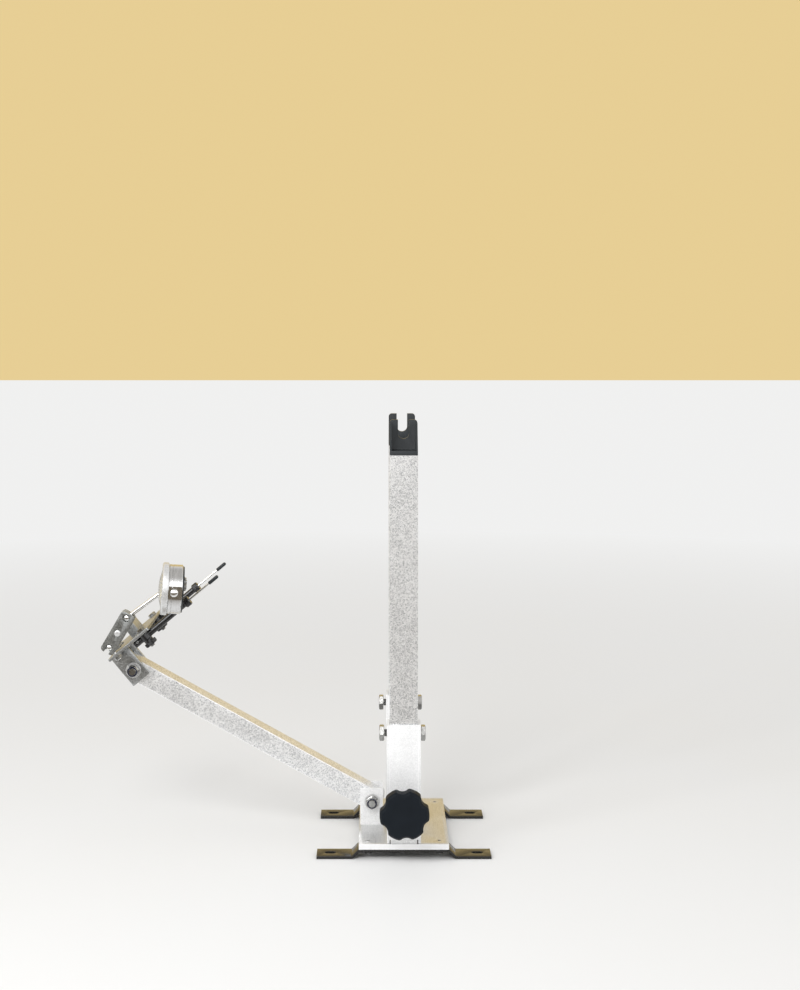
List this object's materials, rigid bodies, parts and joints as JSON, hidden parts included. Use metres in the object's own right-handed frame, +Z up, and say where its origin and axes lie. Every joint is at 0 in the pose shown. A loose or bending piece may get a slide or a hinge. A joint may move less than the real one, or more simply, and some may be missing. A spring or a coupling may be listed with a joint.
{
  "type": "wheel truing stand",
  "caption": "Bench stand for truing bicycle wheels: telescoping posts with open dropouts, opened by a star knob, and a hinged gauge arm with rim feelers and a dial indicator.",
  "frame": {"origin": "on the bench, midway between the four foot slots", "axes": "+X towards the side away from the gauge arm, +Y away from the star knob, along the hub axle, +Z up"},
  "size_m": [0.4204, 0.229, 0.465],
  "materials": {
    "plate_aluminium": "milled plate, fine brushed",
    "nut_alloy": "machined block",
    "tube_aluminium": "bead blasted and clear anodised",
    "sleeve_aluminium": "bead blasted, bright",
    "bar_aluminium": "milled flat bar",
    "black_steel": "gloss black",
    "zinc_steel": "zinc plated",
    "screw_steel": "turned",
    "bracket_steel": "bare, satin",
    "link_steel": "dark satin",
    "polished_steel": "polished",
    "black_oxide": "black oxide",
    "black_plastic": "moulded, matte",
    "dial_metal": "turned and polished",
    "crystal": "clear dome",
    "dial_white": "printed scale",
    "hand_black": "black"
  },
  "bodies": {
    "base": {"base_plate": "plate_aluminium", "front_foot_bar": "black_steel", "rear_foot_bar": "black_steel", "base_screws": "zinc_steel", "foot_nuts": "zinc_steel", "arm_clevis": "plate_aluminium", "arm_pivot_bolt": "zinc_steel", "arm_pivot_washers": "zinc_steel", "arm_pivot_nut": "zinc_steel", "bearing_block": "plate_aluminium"},
    "knob_screw": {"lead_screw": "screw_steel", "thrust_collars": "screw_steel", "star_knob": "black_plastic"},
    "front_post": {"front_shoe": "plate_aluminium", "front_screw_nut": "nut_alloy", "front_sleeve": "sleeve_aluminium", "front_clamp_bolts": "zinc_steel"},
    "rear_post": {"rear_shoe": "plate_aluminium", "rear_screw_nut": "nut_alloy", "rear_sleeve": "sleeve_aluminium", "rear_clamp_bolts": "zinc_steel"},
    "front_mast": {"front_mast": "tube_aluminium", "front_dropout": "black_plastic"},
    "rear_mast": {"rear_mast": "tube_aluminium", "rear_dropout": "black_plastic"},
    "arm": {"arm_tube": "tube_aluminium"},
    "head": {"head_bracket": "bracket_steel", "head_pivot_bolt": "zinc_steel", "head_pivot_washers": "zinc_steel", "head_pivot_nut": "zinc_steel", "gauge_bar": "bar_aluminium", "bar_screws": "zinc_steel", "bar_block": "tube_aluminium", "feeler_bolts": "zinc_steel", "thumb_nuts": "zinc_steel", "ball_stud": "polished_steel", "ball_stud_nut": "zinc_steel"},
    "front_feeler": {"front_feeler_rod": "black_oxide", "front_feeler_collar": "black_oxide"},
    "rear_feeler": {"rear_feeler_rod": "black_oxide", "rear_feeler_collar": "black_oxide"},
    "front_pointer": {"front_pointer": "polished_steel", "front_pointer_tip": "black_plastic"},
    "rear_pointer": {"rear_pointer": "polished_steel", "rear_pointer_tip": "black_plastic"},
    "link": {"front_link_plate": "link_steel", "back_link_plate": "link_steel", "link_screw": "zinc_steel"},
    "dial_rod": {"ball_rod": "polished_steel", "stem_clamp": "link_steel"},
    "dial": {"dial_case": "dial_metal", "dial_back_cover": "black_plastic", "spindle_cap": "polished_steel", "counter_plate": "dial_white"},
    "bezel": {"bezel": "dial_metal", "crystal": "crystal", "dial_face": "dial_white"},
    "needle": {"needle": "hand_black"},
    "counter_hand": {"counter_hand": "hand_black"},
    "plunger": {"plunger": "polished_steel"}
  },
  "joints": [
    {"name": "knob_turn", "type": "hinge", "parent": "base", "child": "knob_screw", "pos_m": [0, 0, 0.057], "axis": [0, 1, 0], "range_deg": [0, 3600]},
    {"name": "front_post_slide", "type": "slide", "parent": "base", "child": "front_post", "axis": [0, -1, 0], "range_m": [0, 0.02]},
    {"name": "rear_post_slide", "type": "slide", "parent": "base", "child": "rear_post", "axis": [0, 1, 0], "range_m": [0, 0.02]},
    {"name": "front_mast_slide", "type": "slide", "parent": "front_post", "child": "front_mast", "axis": [0, 0, 1], "range_m": [-0.011, 0.038]},
    {"name": "rear_mast_slide", "type": "slide", "parent": "rear_post", "child": "rear_mast", "axis": [0, 0, 1], "range_m": [-0.011, 0.038]},
    {"name": "arm_hinge", "type": "hinge", "parent": "base", "child": "arm", "pos_m": [-0.034, 0, 0.042], "axis": [0, 1, 0], "range_deg": [-20, 30]},
    {"name": "head_hinge", "type": "hinge", "parent": "arm", "child": "head", "pos_m": [-0.29689, 0, 0.18653], "axis": [0, 1, 0], "range_deg": [-25, 25]},
    {"name": "front_feeler_swing", "type": "hinge", "parent": "head", "child": "front_feeler", "pos_m": [-0.2793, -0.045, 0.22935], "axis": [-0.6428, 0, 0.766], "range_deg": [-3, 18]},
    {"name": "rear_feeler_swing", "type": "hinge", "parent": "head", "child": "rear_feeler", "pos_m": [-0.2793, 0.045, 0.22935], "axis": [0.6428, 0, -0.766], "range_deg": [-3, 18]},
    {"name": "front_pointer_slide", "type": "slide", "parent": "front_feeler", "child": "front_pointer", "axis": [0.766, 0, 0.6428], "range_m": [-0.018, 0.012]},
    {"name": "rear_pointer_slide", "type": "slide", "parent": "rear_feeler", "child": "rear_pointer", "axis": [0.766, 0, 0.6428], "range_m": [-0.018, 0.012]},
    {"name": "link_hinge", "type": "hinge", "parent": "head", "child": "link", "pos_m": [-0.3189, -0.042, 0.21727], "axis": [0, -1, 0], "range_deg": [0, 50]},
    {"name": "rod_hinge", "type": "hinge", "parent": "link", "child": "dial_rod", "pos_m": [-0.30008, -0.042, 0.24936], "axis": [0, -1, 0], "range_deg": [0, 60]},
    {"name": "dial_swivel", "type": "hinge", "parent": "dial_rod", "child": "dial", "pos_m": [-0.24992, -0.042, 0.2858], "axis": [-0.1392, 0.9903, 0], "range_deg": [-50, 90]},
    {"name": "bezel_turn", "type": "hinge", "parent": "dial", "child": "bezel", "pos_m": [-0.24529, -0.07498, 0.2858], "axis": [0.9879, 0.1388, -0.0698], "continuous": true},
    {"name": "needle_turn", "type": "hinge", "parent": "dial", "child": "needle", "pos_m": [-0.24529, -0.07498, 0.2858], "axis": [0.9879, 0.1388, -0.0698], "range_deg": [0, 3600]},
    {"name": "counter_turn", "type": "hinge", "parent": "dial", "child": "counter_hand", "pos_m": [-0.246, -0.07508, 0.27542], "axis": [-0.9879, -0.1388, 0.0698], "range_deg": [0, 360]},
    {"name": "plunger_slide", "type": "slide", "parent": "dial", "child": "plunger", "axis": [0.1392, -0.9903, 0], "range_m": [0, 0.01], "stiffness_N_per_m": 20, "springref_m": -0.02}
  ],
  "couplings": [
    {"joint": "knob_turn", "follows": "front_post_slide", "rad_per_m": 3141.6},
    {"joint": "rear_post_slide", "follows": "front_post_slide", "ratio": 1},
    {"joint": "needle_turn", "follows": "plunger_slide", "rad_per_m": 6283.2},
    {"joint": "counter_turn", "follows": "plunger_slide", "rad_per_m": 628.32}
  ]
}
